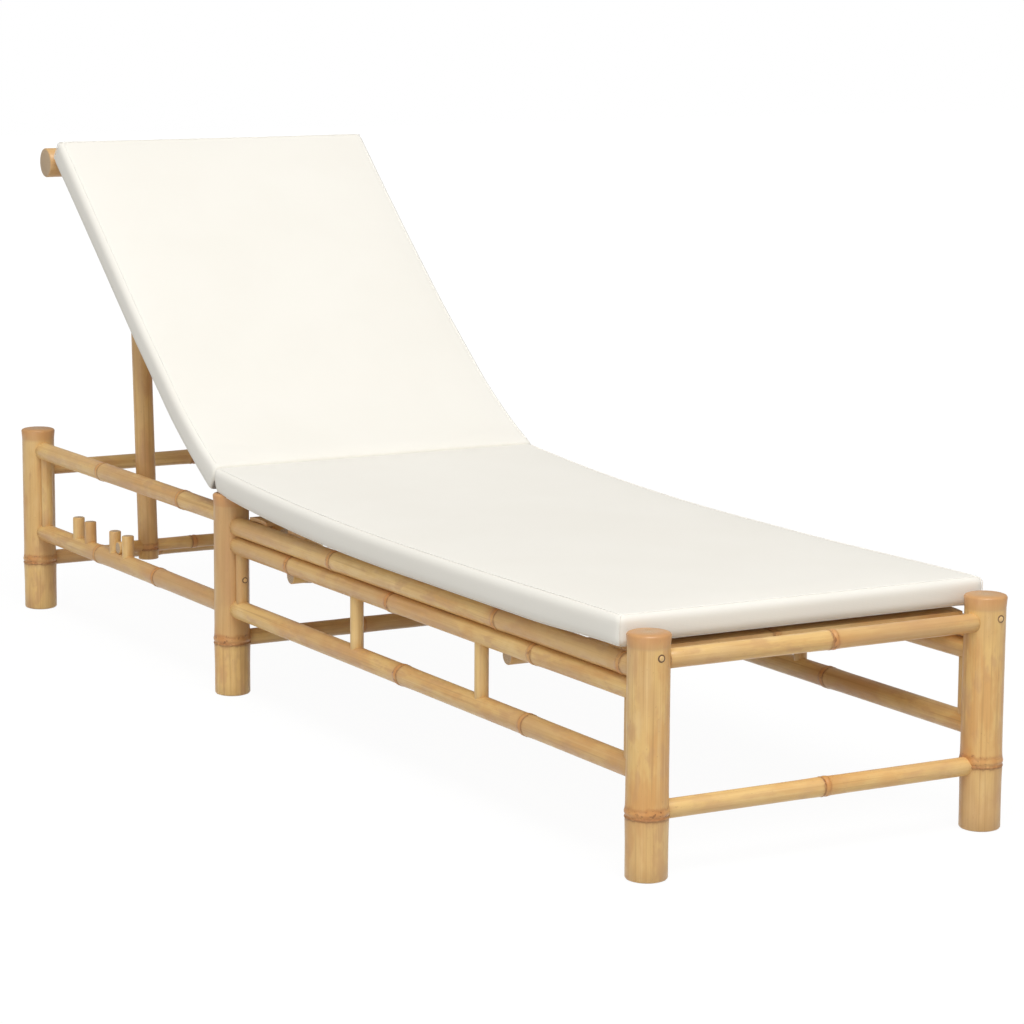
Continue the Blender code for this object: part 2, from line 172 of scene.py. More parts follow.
paint.links.new(paint_white.outputs[0], paint_shown.inputs[2])
paint_path = paint.nodes.new("ShaderNodeLightPath")
paint_seen = paint.nodes.new("ShaderNodeMath")
paint_seen.operation = "MAXIMUM"
paint_pick = paint.nodes.new("ShaderNodeMixShader")
paint.links.new(paint_path.outputs["Is Camera Ray"], paint_seen.inputs[0])
paint.links.new(paint_path.outputs["Is Glossy Ray"], paint_seen.inputs[1])
paint.links.new(paint_seen.outputs[0], paint_pick.inputs[0])
paint.links.new(paint_matt.outputs[0], paint_pick.inputs[1])
paint.links.new(paint_shown.outputs[0], paint_pick.inputs[2])
paint.links.new(paint_pick.outputs[0], paint_out.inputs["Surface"])
floor_data.materials.append(floor_paint)


# Legs. Six thick culms of a light, varnished bamboo, sawn just above a node, so that the
# node closes the top. A second node sits low on each. Every other pole is made the same way.
def add_node(tree, kind, **settings):
    made = tree.nodes.new(kind)
    for key, value in settings.items():
        setattr(made, key, value)
    return made


def feed(tree, socket, value):
    """Links an output into the socket, or writes a plain value there."""
    if isinstance(value, bpy.types.NodeSocket):
        tree.links.new(value, socket)
    else:
        socket.default_value = value


def do_math(tree, operation, a, b=0.0):
    step = add_node(tree, "ShaderNodeMath", operation=operation)
    feed(tree, step.inputs[0], a)
    feed(tree, step.inputs[1], b)
    return step.outputs[0]


def times(tree, a, b):
    return do_math(tree, "MULTIPLY", a, b)


def ramp(tree, value, low, high, to_low=0.0, to_high=1.0):
    """Maps low..high smoothly to to_low..to_high, held at the ends."""
    step = add_node(tree, "ShaderNodeMapRange", interpolation_type="SMOOTHSTEP", clamp=True)
    feed(tree, step.inputs["Value"], value)
    step.inputs["From Min"].default_value = low
    step.inputs["From Max"].default_value = high
    step.inputs["To Min"].default_value = to_low
    step.inputs["To Max"].default_value = to_high
    return step.outputs["Result"]


def blend_colour(tree, factor, a, b, kind="MIX"):
    step = add_node(tree, "ShaderNodeMix", data_type="RGBA", blend_type=kind)
    feed(tree, step.inputs[0], factor)
    feed(tree, step.inputs[6], a)
    feed(tree, step.inputs[7], b)
    return step.outputs[2]


def grain_noise(tree, vector, stretch, detail=3.0, roughness=0.55):
    """Noise on coordinates that are stretched by a scale for each axis."""
    spread_out = add_node(tree, "ShaderNodeMapping")
    feed(tree, spread_out.inputs["Vector"], vector)
    spread_out.inputs["Scale"].default_value = stretch
    noise = add_node(tree, "ShaderNodeTexNoise")
    tree.links.new(spread_out.outputs[0], noise.inputs["Vector"])
    noise.inputs["Scale"].default_value = 1.0
    noise.inputs["Detail"].default_value = detail
    noise.inputs["Roughness"].default_value = roughness
    return noise.outputs["Fac"]


def new_material(name):
    """An empty material. Returns it with its tree and its shader."""
    made = bpy.data.materials.new(name)
    made.use_nodes = True
    return made, made.node_tree, made.node_tree.nodes["Principled BSDF"]


def add_relief(tree, shader, height, strength, distance):
    bump = add_node(tree, "ShaderNodeBump")
    bump.inputs["Strength"].default_value = strength
    bump.inputs["Distance"].default_value = distance
    tree.links.new(height, bump.inputs["Height"])
    tree.links.new(bump.outputs[0], shader.inputs["Normal"])


def new_group(name, inputs, outputs):
    """A shader node group with named sockets. Returns the tree and its two end nodes."""
    tree = bpy.data.node_groups.new(name, "ShaderNodeTree")
    for label, kind, value in inputs:
        socket = tree.interface.new_socket(name=label, in_out="INPUT", socket_type=kind)
        if value is not None:
            socket.default_value = value
    for label, kind in outputs:
        tree.interface.new_socket(name=label, in_out="OUTPUT", socket_type=kind)
    return tree, tree.nodes.new("NodeGroupInput"), tree.nodes.new("NodeGroupOutput")


# How far from a node a pole without nodes counts as being.
NO_RING = 0.2
COLLAR_TALL = 0.0135
BLUSH_TALL = 0.050
SKIRT_TALL = 0.007
SCAR_HALF = 0.0030
UPPER_LINE = 0.0095
RING_WOBBLE = 0.009
VARNISH = (1.11, 1.09, 0.97, 1.0)
SAWN_PALE = (0.66, 0.50, 0.33, 1.0)
SAWN_DARK = (0.44, 0.30, 0.17, 1.0)


def bamboo_skin_group():
    """The waxy skin of a culm: fibres along it, patches, streaks, and brown scars at nodes."""
    tree, given, result = new_group(
        "bamboo skin",
        (
            ("Grain", "NodeSocketVector", None),
            ("Ring", "NodeSocketFloat", NO_RING),
            ("Above", "NodeSocketFloat", 1.0),
            ("Tone", "NodeSocketFloat", 0.0),
            ("Cut", "NodeSocketFloat", 0.0),
            ("Skin", "NodeSocketColor", (0.78, 0.52, 0.22, 1.0)),
            ("Warm", "NodeSocketColor", (0.68, 0.37, 0.14, 1.0)),
            ("Pale", "NodeSocketColor", (0.87, 0.64, 0.33, 1.0)),
            ("Scar", "NodeSocketColor", (0.26, 0.10, 0.04, 1.0)),
        ),
        (
            ("Color", "NodeSocketColor"),
            ("Roughness", "NodeSocketFloat"),
            ("Height", "NodeSocketFloat"),
        ),
    )
    grain = given.outputs["Grain"]
    warm = given.outputs["Warm"]
    pale = given.outputs["Pale"]
    tone = given.outputs["Tone"]
    zones = grain_noise(tree, grain, (16.0, 16.0, 4.5), 2.0)
    patches = grain_noise(tree, grain, (26.0, 26.0, 9.0), 4.0, 0.6)
    blotches = grain_noise(tree, grain, (55.0, 55.0, 21.0), 3.0)
    streaks = grain_noise(tree, grain, (190.0, 190.0, 3.5), 2.0, 0.6)
    fibres = grain_noise(tree, grain, (850.0, 850.0, 9.0), 3.0, 0.65)
    mottle = grain_noise(tree, grain, (120.0, 120.0, 60.0), 4.0, 0.6)
    freckles = grain_noise(tree, grain, (420.0, 420.0, 190.0), 2.0)

    # Each layer tints the ones before it: by nothing where its source is at the first value,
    # and by the share given where it is at the second.
    colour = given.outputs["Skin"]
    for source, none_at, full_at, share, tint in (
        (patches, 0.47, 0.62, 0.75, warm),
        (patches, 0.45, 0.32, 0.55, pale),
        (zones, 0.50, 0.60, 0.45, (0.58, 0.34, 0.17, 1.0)),
        (blotches, 0.51, 0.66, 0.60, (0.60, 0.34, 0.17, 1.0)),
        (streaks, 0.53, 0.70, 0.55, (0.53, 0.29, 0.11, 1.0)),
        (streaks, 0.45, 0.26, 0.42, pale),
        (fibres, 0.62, 0.36, 0.15, (0.42, 0.23, 0.09, 1.0)),
        (tone, 0.0, 1.0, 0.55, (0.56, 0.34, 0.17, 1.0)),
        (tone, 0.0, -1.0, 0.42, pale),
        (tone, 1.0, 1.8, 0.55, (0.55, 0.25, 0.10, 1.0)),
    ):
        factor = ramp(tree, source, none_at, full_at, 0.0, share)
        colour = blend_colour(tree, factor, colour, tint)

    # At a node: a blush and a reddish collar above the scar, a brown skirt below it, the dark
    # scar itself, a thin line over the collar and the marks of its roots.
    above = given.outputs["Above"]
    below = do_math(tree, "SUBTRACT", 1.0, above)
    wobble = times(tree, do_math(tree, "SUBTRACT", mottle, 0.5), RING_WOBBLE)
    away = do_math(tree, "ADD", given.outputs["Ring"], wobble)
    thick = ramp(tree, mottle, 0.32, 0.60, 0.45, 1.0)
    blush = times(tree, ramp(tree, away, BLUSH_TALL, 0.006), above)
    blush = times(tree, blush, ramp(tree, patches, 0.40, 0.60, 0.25, 0.60))
    collar = times(tree, ramp(tree, away, COLLAR_TALL, 0.0085), above)
    collar = times(tree, collar, ramp(tree, blotches, 0.36, 0.62, 0.30, 0.78))
    skirt = times(tree, ramp(tree, away, SKIRT_TALL, 0.001, 0.0, 0.42), below)
    rim = times(tree, ramp(tree, away, SCAR_HALF, 0.0006), thick)
    from_line = do_math(tree, "ABSOLUTE", do_math(tree, "SUBTRACT", away, UPPER_LINE))
    upper = ramp(tree, from_line, 0.0022, 0.0004, 0.0, 0.34)
    upper = times(tree, times(tree, upper, above), thick)
    roots = grain_noise(tree, grain, (170.0, 170.0, 300.0), 1.0)
    root_marks = times(tree, ramp(tree, roots, 0.60, 0.68, 0.0, 0.95), collar)
    specks = ramp(tree, freckles, 0.68, 0.76, 0.0, 0.30)
    for factor, tint in (
        (blush, (0.64, 0.33, 0.12, 1.0)),
        (collar, (0.57, 0.25, 0.085, 1.0)),
        (skirt, (0.52, 0.29, 0.12, 1.0)),
        (upper, (0.38, 0.17, 0.06, 1.0)),
        (times(tree, rim, 0.74), given.outputs["Scar"]),
        (root_marks, (0.24, 0.10, 0.04, 1.0)),
        (specks, (0.36, 0.17, 0.07, 1.0)),
    ):
        colour = blend_colour(tree, factor, colour, tint)
    colour = blend_colour(tree, 1.0, colour, VARNISH, "MULTIPLY")

    # A sawn end shows the vessels as dots.
    cut = given.outputs["Cut"]
    flat = add_node(tree, "ShaderNodeVectorMath", operation="MULTIPLY")
    feed(tree, flat.inputs[0], grain)
    flat.inputs[1].default_value = (1.0, 1.0, 0.0)
    vessels = grain_noise(tree, flat.outputs[0], (900.0, 900.0, 1.0), 2.0)
    sawn = blend_colour(tree, ramp(tree, vessels, 0.42, 0.62), SAWN_PALE, SAWN_DARK)
    colour = blend_colour(tree, cut, colour, sawn)

    rough = do_math(tree, "ADD", ramp(tree, mottle, 0.3, 0.7, 0.36, 0.50),
                    times(tree, rim, 0.25))
    rough = do_math(tree, "ADD", rough, times(tree, cut, 0.25))
    height = do_math(tree, "ADD", times(tree, fibres, 0.5), times(tree, mottle, 0.5))
    tree.links.new(colour, result.inputs["Color"])
    tree.links.new(rough, result.inputs["Roughness"])
    tree.links.new(height, result.inputs["Height"])
    return tree


BAMBOO_SKIN = bamboo_skin_group()
BAMBOO_RELIEF = 0.12
RELIEF_DEEP = 0.0008
COAT = 0.08
COAT_ROUGH = 0.25


def bamboo_material(name, skin=None, warm=None, pale=None):
    """Varnished bamboo. Grain, ring, above, tone and cut are attributes of each pole's mesh."""
    made, tree, shader = new_material(name)
    group = add_node(tree, "ShaderNodeGroup", node_tree=BAMBOO_SKIN)
    for label in ("Grain", "Ring", "Above", "Tone", "Cut"):
        read = add_node(tree, "ShaderNodeAttribute", attribute_name=label.lower())
        out = read.outputs["Vector"] if label == "Grain" else read.outputs["Fac"]
        tree.links.new(out, group.inputs[label])
    for label, colour in (("Skin", skin), ("Warm", warm), ("Pale", pale)):
        if colour:
            group.inputs[label].default_value = colour
    tree.links.new(group.outputs["Color"], shader.inputs["Base Color"])
    tree.links.new(group.outputs["Roughness"], shader.inputs["Roughness"])
    add_relief(tree, shader, group.outputs["Height"], BAMBOO_RELIEF, RELIEF_DEEP)
    shader.inputs["Coat Weight"].default_value = COAT
    shader.inputs["Coat Roughness"].default_value = COAT_ROUGH
    return made


BAMBOO = bamboo_material("varnished bamboo")

# The form of a node on a culm of radius RING_R: the scar, a groove, the ridge and a low foot,
# each as how far it stands out, its place above the scar and its width.
RING_R = 0.0147
NODE_WAVES = (
    (0.00055, 0.0, 0.0011),
    (-0.00035, 0.0030, 0.0013),
    (0.00075, 0.0068, 0.0034),
    (0.00050, 0.0, 0.018),
)
# Where the outline has points near a node, in millimetres above its scar.
NODE_STEPS = (-16, -9, -5, -3, -2, -1.3, -0.7, 0, 0.7, 1.3, 2, 2.8, 3.6, 4.6, 5.7, 6.8,
              8, 9.3, 11, 14, 19)
MM = 0.001
PLAIN_STEP = 0.022
LEAST_STEP = 0.0004
DOME_STEPS = 9
CAP_TALL = 0.0185
CAP_SLOPE = 0.005
CAP_TONE = 1.8
CAP_CUT = 0.80
TONE_RANGE = (-0.9, 1.0)
OVAL_RANGE = (0.004, 0.010)
BOW_RANGE = (0.0002, 0.0009)
BOW_LONG = 0.6
GRAIN_REACH = 9


def node_relief(distance, radius):
    """How far a culm stands out at this distance above a node's scar."""
    size = (radius / RING_R) ** 0.5
    return size * sum(rise * math.exp(-(((distance - middle) / width) ** 2))
                      for rise, middle, width in NODE_WAVES)


def eased(t):
    t = min(1.0, max(0.0, t))
    return t * t * (3.0 - 2.0 * t)


def heights_of(length, rings):
    """Places along a pole: wide apart on the plain lengths and close together at the nodes."""
    cap_foot = length - CAP_TALL
    places = {0.0, length, cap_foot, cap_foot + CAP_SLOPE / 2, cap_foot + CAP_SLOPE}
    count = max(2, round(length / PLAIN_STEP))
    for i in range(1, count):
        places.add(length * i / count)
    for ring in rings:
        for step in NODE_STEPS:
            places.add(ring + step * MM)
    kept = []
    for place in sorted(p for p in places if 0.0 <= p <= length):
        if not kept or place - kept[-1] > LEAST_STEP:
            kept.append(place)
    kept[-1] = length
    return kept


def pole(name, start, end, radius, rings, body, *nodes, sides=32, edge=0.0012, dome=False,
         finish=None, slot="bamboo", cap=0.0, plain=False, tones=None, straight=False):
    """A bamboo culm from start to end. It stands for the CAD nodes named, on their body. A cap
    is how much thicker its closed, reddish top is than the rest. Tones, from -1 for pale to 1
    for reddish, are those of the lengths between its nodes. Other culms bow a little, but a
    straight one doesn't."""
    rng = random.Random(name)
    start = Vector(start)
    end = Vector(end)
    length = (end - start).length
    flat = edge * 1.4
    bend_in = edge * 0.45
    bend_up = edge * 0.35
    outline = [(radius - flat, 0.0), (radius - bend_in, bend_up)]
    for height in heights_of(length - 2 * edge, [r - edge for r in rings]):
        lift = 0.0 if plain else sum(node_relief(height + edge - r, radius) for r in rings)
        if cap:
            lift += cap * eased((height - length + CAP_TALL) / CAP_SLOPE)
        outline.append((radius + lift, height + edge))
    outline += [(radius + cap - bend_in, length - bend_up), (radius + cap - flat, length)]
    if dome:
        outline = [(r, h) for r, h in outline if h < length - radius]
        for step in range(DOME_STEPS):
            turn = math.pi / 2 * step / DOME_STEPS
            outline.append((radius * math.cos(turn), length - radius + radius * math.sin(turn)))
    shape = bmesh.new()
    outline = [(0.0, 0.0)] + outline + [(0.0, length)]
    verts = [shape.verts.new((r, 0.0, h)) for r, h in outline]
    for a, b in zip(verts, verts[1:]):
        shape.edges.new((a, b))
    bmesh.ops.spin(shape, geom=shape.verts[:] + shape.edges[:], cent=(0, 0, 0), axis=(0, 0, 1),
                   angle=math.tau, steps=sides, use_merge=True, use_duplicate=False)
    bmesh.ops.remove_doubles(shape, verts=shape.verts[:], dist=0.00002)
    bmesh.ops.recalc_face_normals(shape, faces=shape.faces[:])

    grain = shape.verts.layers.float_vector.new("grain")
    ring_at = shape.verts.layers.float.new("ring")
    above_at = shape.verts.layers.float.new("above")
    tone_at = shape.verts.layers.float.new("tone")
    cut_at = shape.verts.layers.float.new("cut")
    offset = Vector([rng.uniform(-GRAIN_REACH, GRAIN_REACH) for _ in "xyz"])
    tones = tones or [rng.uniform(*TONE_RANGE) for _ in range(len(rings) + 1)]
    band = (RING_R / radius) ** 0.5
    squeeze = 0.0 if plain else rng.uniform(*OVAL_RANGE)
    facing = rng.uniform(0, math.tau)
    bow = rng.uniform(*BOW_RANGE) * min(1.0, length / BOW_LONG)
    if plain or straight:
        bow = 0.0
    bow_way = rng.uniform(0, math.tau)
    marks = sorted(rings)
    for vert in shape.verts:
        x, y, h = vert.co
        reach = math.hypot(x, y)
        angle = math.atan2(y, x)
        vert[grain] = Vector((x, y, h)) + offset
        nearest = min(marks, key=lambda r: abs(h - r), default=-1.0)
        vert[ring_at] = abs(h - nearest) * band if marks else NO_RING
        vert[above_at] = 1.0 if h >= nearest else 0.0
        vert[tone_at] = tones[sum(1 for r in marks if h > r)]
        if cap:
            fade = eased((h - length + CAP_TALL + 0.003) / 0.007)
            vert[tone_at] += fade * (CAP_TONE - vert[tone_at])
        vert[cut_at] = 0.0
        if reach < radius - edge * 1.2 and not dome and not plain:
            vert[cut_at] = CAP_CUT if cap and h > length / 2 else 1.0
        if reach > 0.0001:
            oval = 1.0 + squeeze * math.cos(2.0 * (angle - facing))
            vert.co.x = x * oval
            vert.co.y = y * oval
        sway = bow * math.sin(math.pi * h / length)
        vert.co.x += sway * math.cos(bow_way)
        vert.co.y += sway * math.sin(bow_way)
    turn = (end - start).to_track_quat("Z", "Y").to_matrix().to_4x4()
    bmesh.ops.transform(shape, matrix=Matrix.Translation(start) @ turn, verts=shape.verts[:])
    for face in shape.faces:
        face.smooth = True
    data = bpy.data.meshes.new(name)
    shape.to_mesh(data)
    shape.free()
    data.materials.append(finish or BAMBOO)
    made = bpy.data.objects.new(name, data)
    scene.collection.objects.link(made)
    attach(made, body)
    if nodes:
        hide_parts(*nodes)


SIDES = {"left": -1.0, "right": 1.0}
FOOT_Y = -0.9875
MIDDLE_Y = 0.2105
HEAD_Y = 0.9875
LEG_R = 0.027
LEG_X = 0.257
LEG_TALL = 0.312
LEG_EDGE = 0.0034
LEG_CAP = 0.0012
LEG_NODE = 0.083
LEG_NODE_SHIFT = 0.003
LEG_PLACES = {"foot": FOOT_Y, "middle": MIDDLE_Y, "head": HEAD_Y}
LEG_TONES = {"foot": (0.55, 0.10), "middle": (-0.10, 1.0), "head": (0.0, 0.45)}
for place, leg_y in LEG_PLACES.items():
    for side, sign in SIDES.items():
        x = sign * LEG_X
        low_node = LEG_NODE + LEG_NODE_SHIFT * sign
        pole(f"{place}_leg_{side}", (x, leg_y, 0.0), (x, leg_y, LEG_TALL), LEG_R,
             (low_node,), "frame", f"leg_{place}_{side}", sides=40, edge=LEG_EDGE,
             cap=LEG_CAP, tones=LEG_TONES[place])


# Side rails. Culms of about 29 mm run from leg to leg, their ends let into the legs. The seat
# bay has two that touch and a low one, and the head bay an upper and a lower one.
RAIL_INSET = 0.0205
SEAT_RAIL_Z = 0.263
SECOND_RAIL_Z = 0.2337
HEAD_RAIL_Z = 0.2753
LOW_RAIL_Z = 0.135
RIGHT_SHIFT = 0.055
RIGHT_SHIFT_LOW = -0.03
RAILS = (
    ("seat_top", SEAT_RAIL_Z, 0.0145, (0.046, 0.361, 0.841), FOOT_Y, MIDDLE_Y),
    ("seat_second", SECOND_RAIL_Z, 0.0140, (0.266, 0.663, 0.981), FOOT_Y, MIDDLE_Y),
    ("seat_lower", LOW_RAIL_Z, 0.0147, (0.287, 0.634), FOOT_Y, MIDDLE_Y),
    ("head_upper", HEAD_RAIL_Z, 0.0147, (0.167, 0.486), MIDDLE_Y, HEAD_Y),
    ("head_lower", LOW_RAIL_Z, 0.0147, (0.266, 0.502), MIDDLE_Y, HEAD_Y),
)
for side, sign in SIDES.items():
    for name, height, radius, rings, first, last in RAILS:
        x = sign * LEG_X
        shift = 0.0
        if sign > 0:
            shift = RIGHT_SHIFT_LOW if name == "head_lower" else RIGHT_SHIFT
        start = Vector((x, first + RAIL_INSET, height))
        stop = Vector((x, last - RAIL_INSET, height))
        marks = [ring + shift - RAIL_INSET for ring in rings]
        pole(f"{name}_rail_{side}", start, stop, radius, marks, "frame", f"rail_{name}_{side}")


# Sticks and spindles. Thin culms stand beside the legs and between the rails, where they keep
# the rails apart. Their ends are let into the rails.
STICK_R = 0.0097
STICK_INSET = 0.0095
BESIDE_LEG = 0.0375
STICKS = (
    ("stick_foot", FOOT_Y + BESIDE_LEG, SECOND_RAIL_Z),
    ("spindle_foot", -0.5698, SECOND_RAIL_Z),
    ("spindle_middle", -0.2070, SECOND_RAIL_Z),
    ("stick_middle_front", MIDDLE_Y - BESIDE_LEG, SECOND_RAIL_Z),
    ("stick_middle_rear", MIDDLE_Y + BESIDE_LEG, HEAD_RAIL_Z),
    ("stick_head", HEAD_Y - BESIDE_LEG, HEAD_RAIL_Z),
)
for side, sign in SIDES.items():
    for name, stick_y, high in STICKS:
        x = sign * LEG_X
        pole(f"{name}_culm_{side}", (x, stick_y, LOW_RAIL_Z + STICK_INSET),
             (x, stick_y, high - STICK_INSET), STICK_R, (), "frame", f"{name}_{side}", sides=24)


# Cross rails and ties. Culms of 25 mm join the legs across, high and low. Two more lie under
# the second side rails and tie the seat together.
CROSS_R = 0.0125
CROSS_INSET = 0.022
CROSS_HALF = LEG_X - CROSS_INSET
LOW_CROSS_Z = 0.0858
CROSSES = (
    ("foot_upper", FOOT_Y - 0.006, 0.277, (0.262,)),
    ("foot_lower", FOOT_Y, LOW_CROSS_Z, (0.259,)),
    ("middle_lower", MIDDLE_Y, LOW_CROSS_Z, (0.215, 0.402)),
    ("head_upper", HEAD_Y, 0.243, (0.284, 0.430)),
    ("head_lower", HEAD_Y, LOW_CROSS_Z, (0.215, 0.340)),
)
for name, y, z, rings in CROSSES:
    marks = [ring - CROSS_INSET for ring in rings]
    pole(f"{name}_cross", (-CROSS_HALF, y, z), (CROSS_HALF, y, z), CROSS_R, marks, "frame",
         f"cross_{name}")
TIE_HALF = 0.2485
TIE_Z = 0.213
for name, y in (("foot", -0.6225), ("middle", 0.0255)):
    pole(f"{name}_tie", (-TIE_HALF, y, TIE_Z), (TIE_HALF, y, TIE_Z), CROSS_R, (0.170, 0.345),
         "frame", f"tie_{name}")


# Pegs. Short round pegs are glued into the lower rails of the head bay. The prop's rod lies
# between two of them, and another pair gives a second slot.
PEG_R = 0.0098
PEG_EDGE = 0.0016
PEG_LOW = 0.136
PEG_TOP = 0.184
PEG_LEAN = 0.0012
PEGS = ((0.6059, 1), (0.6604, -1), (0.7616, 1), (0.8123, 0))
for side, sign in SIDES.items():
    for number, (peg_y, lean) in enumerate(PEGS):
        x = sign * LEG_X
        top = (x, peg_y + PEG_LEAN * lean, PEG_TOP)
        pole(f"peg_{side}_{number + 1}", (x, peg_y, PEG_LOW), top, PEG_R, (), "frame",
             sides=20, edge=PEG_EDGE)


# Hinge rod. A darker wooden rod runs from one middle leg to the other, through both back
# poles, which turn on it.
DARK_WOOD = bamboo_material("dark rod", (0.42, 0.24, 0.10, 1.0), (0.34, 0.18, 0.07, 1.0),
                            (0.47, 0.28, 0.13, 1.0))
HINGE = Vector((0.0, MIDDLE_Y, 0.258))
HINGE_R = 0.0100
hinge_half = Vector((0.2500, 0.0, 0.0))
pole("hinge_dowel", HINGE - hinge_half, HINGE + hinge_half, HINGE_R, (), "frame", "hinge_rod",
     sides=24, finish=DARK_WOOD, slot="dark_bamboo", plain=True)


# Seat slats. Strips split from a thick culm lie across the side rails, skin side up. They are
# seen from below and between the rails. The back's slats are of the same strips.
STRIP_SKIN = (0.70, 0.46, 0.22, 1.0)
STRIP_NODE = -0.043
STRIP_RELIEF = 0.15


def strip_material(name, turn):
    """Split bamboo on Object coordinates. Turn sets the strip's length on the grain's Z."""
    made, tree, shader = new_material(name)
    place_in = add_node(tree, "ShaderNodeTexCoord")
    along = add_node(tree, "ShaderNodeMapping")
    along.inputs["Rotation"].default_value = turn
    tree.links.new(place_in.outputs["Object"], along.inputs["Vector"])
    group = add_node(tree, "ShaderNodeGroup", node_tree=BAMBOO_SKIN)
    tree.links.new(along.outputs[0], group.inputs["Grain"])
    split = add_node(tree, "ShaderNodeSeparateXYZ")
    tree.links.new(along.outputs[0], split.inputs[0])
    group.inputs["Skin"].default_value = STRIP_SKIN
    from_node = do_math(tree, "SUBTRACT", split.outputs["Z"], STRIP_NODE)
    tree.links.new(do_math(tree, "ABSOLUTE", from_node), group.inputs["Ring"])
    tree.links.new(do_math(tree, "GREATER_THAN", from_node), group.inputs["Above"])
    tree.links.new(group.outputs["Color"], shader.inputs["Base Color"])
    tree.links.new(group.outputs["Roughness"], shader.inputs["Roughness"])
    add_relief(tree, shader, group.outputs["Height"], STRIP_RELIEF, RELIEF_DEEP)
    return made


STRIP = strip_material("split bamboo strip", (0.0, math.radians(-90.0), 0.0))
for name, node in frame["nodes"].items():
    if "slat" in name:
        node.data.materials.clear()
        node.data.materials.append(STRIP)


# Cushion. Two thin foam pads in one cream cover of plain cotton canvas, joined at the fold
# over the middle legs. Both panels are sewn to a side band, which leaves a fine raised seam.
WEAVE_SCALE = 160.0
WEAVE_RELIEF = 0.18
SEAM_RELIEF = 0.2
THREAD_DEEP = 0.0003


def cream_canvas():
    """Tightly woven cotton: a fine basket of threads, slubs, and soft unevenness of tone. Shade
    is painted into the gaps between the threads, and into the wedge under the fold, where an
    attribute marks it."""
    made, tree, shader = new_material("cream canvas")
    coords = add_node(tree, "ShaderNodeUVMap", uv_map="cloth")
    threads = []
    for direction in ("X", "Y"):
        weave = add_node(tree, "ShaderNodeTexWave", wave_type="BANDS", bands_direction=direction)
        tree.links.new(coords.outputs[0], weave.inputs["Vector"])
        weave.inputs["Scale"].default_value = WEAVE_SCALE
        weave.inputs["Distortion"].default_value = 0.6
        weave.inputs["Detail"].default_value = 1.0
        threads.append(weave.outputs["Fac"])
    weave_height = do_math(tree, "MAXIMUM", threads[0], threads[1])
    where = add_node(tree, "ShaderNodeTexCoord")
    slubs = grain_noise(tree, coords.outputs[0], (90.0, 900.0, 1.0), 2.0)
    clouds = grain_noise(tree, where.outputs["Object"], (5.0, 5.0, 5.0), 3.0)
    painted_crease_shade = add_node(tree, "ShaderNodeAttribute", attribute_name="painted_crease_shade")
    colour = (0.920, 0.890, 0.815, 1.0)
    for factor, tint in (
        (ramp(tree, clouds, 0.3, 0.7), (0.905, 0.873, 0.795, 1.0)),
        (ramp(tree, slubs, 0.58, 0.78, 0.0, 0.12), (0.82, 0.79, 0.70, 1.0)),
        # painted shade: the wedge under the fold, where the attribute marks it, is darkened
        # towards dark grey
        (ramp(tree, painted_crease_shade.outputs["Fac"], 0.0, 0.6, 0.0, 0.75), (0.20, 0.19, 0.18, 1.0)),
        # painted shade: the gaps between the threads are darkened a little
        (ramp(tree, weave_height, 0.30, 0.02, 0.0, 0.10), (0.66, 0.62, 0.54, 1.0)),
    ):
        colour = blend_colour(tree, factor, colour, tint)
    tree.links.new(colour, shader.inputs["Base Color"])
    tree.links.new(ramp(tree, slubs, 0.3, 0.8, 0.80, 0.92), shader.inputs["Roughness"])
    shader.inputs["Sheen Weight"].default_value = 0.15
    shader.inputs["Sheen Roughness"].default_value = 0.5
    height = do_math(tree, "ADD", weave_height, times(tree, slubs, 0.6))
    add_relief(tree, shader, height, WEAVE_RELIEF, THREAD_DEEP)
    return made


def painted_highlight_seam_canvas():
    """The folded edge of the canvas at a seam, with its twisted thread. Its cream is lighter than
    the canvas's: a painted highlight along the raised edge.
    """
    made, tree, shader = new_material("seam canvas painted highlight")
    where = add_node(tree, "ShaderNodeTexCoord")
    fuzz = grain_noise(tree, where.outputs["Object"], (700.0, 700.0, 700.0), 2.0)
    # painted highlight: both creams are lighter than the canvas, for the light the raised seam
    # catches
    colour = blend_colour(tree, ramp(tree, fuzz, 0.35, 0.7), (0.975, 0.955, 0.900, 1.0),
                          (0.950, 0.925, 0.860, 1.0))
    tree.links.new(colour, shader.inputs["Base Color"])
    tree.links.new(ramp(tree, fuzz, 0.3, 0.7, 0.78, 0.92), shader.inputs["Roughness"])
    add_relief(tree, shader, fuzz, SEAM_RELIEF, THREAD_DEEP)
    return made


CANVAS = cream_canvas()
PAINTED_HIGHLIGHT_SEAM = painted_highlight_seam_canvas()
CUSHION_HALF = 0.280
CLOTH_STEP = 0.0085
BAND_ROWS = 9
FLAT_DEEP = 0.04
SEAM_R = 0.0007
CORNER_R = 0.006
TOP_ROUND = 0.0075
LOW_ROUND = 0.0050
SIDE_DRAW = 0.0030
# Below this share of the height, the inner wall at the fold gets painted shade.
PAINTED_SHADE_BELOW = 0.45
CLOTH_FRAMES = 20
CLOTH_PRESSURE = 4.0
PUFF_MOST = 0.0030
BAND_SHARE = 0.4


def rounded_plan(x, y, first, last, fold):
    """Moves a point of a rectangle's grid so that the corners away from the fold are round."""
    if abs(y - fold) < (last - first) / 2:
        return x, y
    at_first = y < (first + last) / 2
    centre_x = CUSHION_HALF - CORNER_R
    centre_y = first + CORNER_R if at_first else last - CORNER_R
    over_x = abs(x) - centre_x
    over_y = centre_y - y if at_first else y - centre_y
    if over_x <= 0 or over_y <= 0:
        return x, y
    pull = max(over_x, over_y) / math.hypot(over_x, over_y)
    step = over_y * pull
    new_x = math.copysign(centre_x + over_x * pull, x)
    return new_x, (centre_y - step if at_first else centre_y + step)


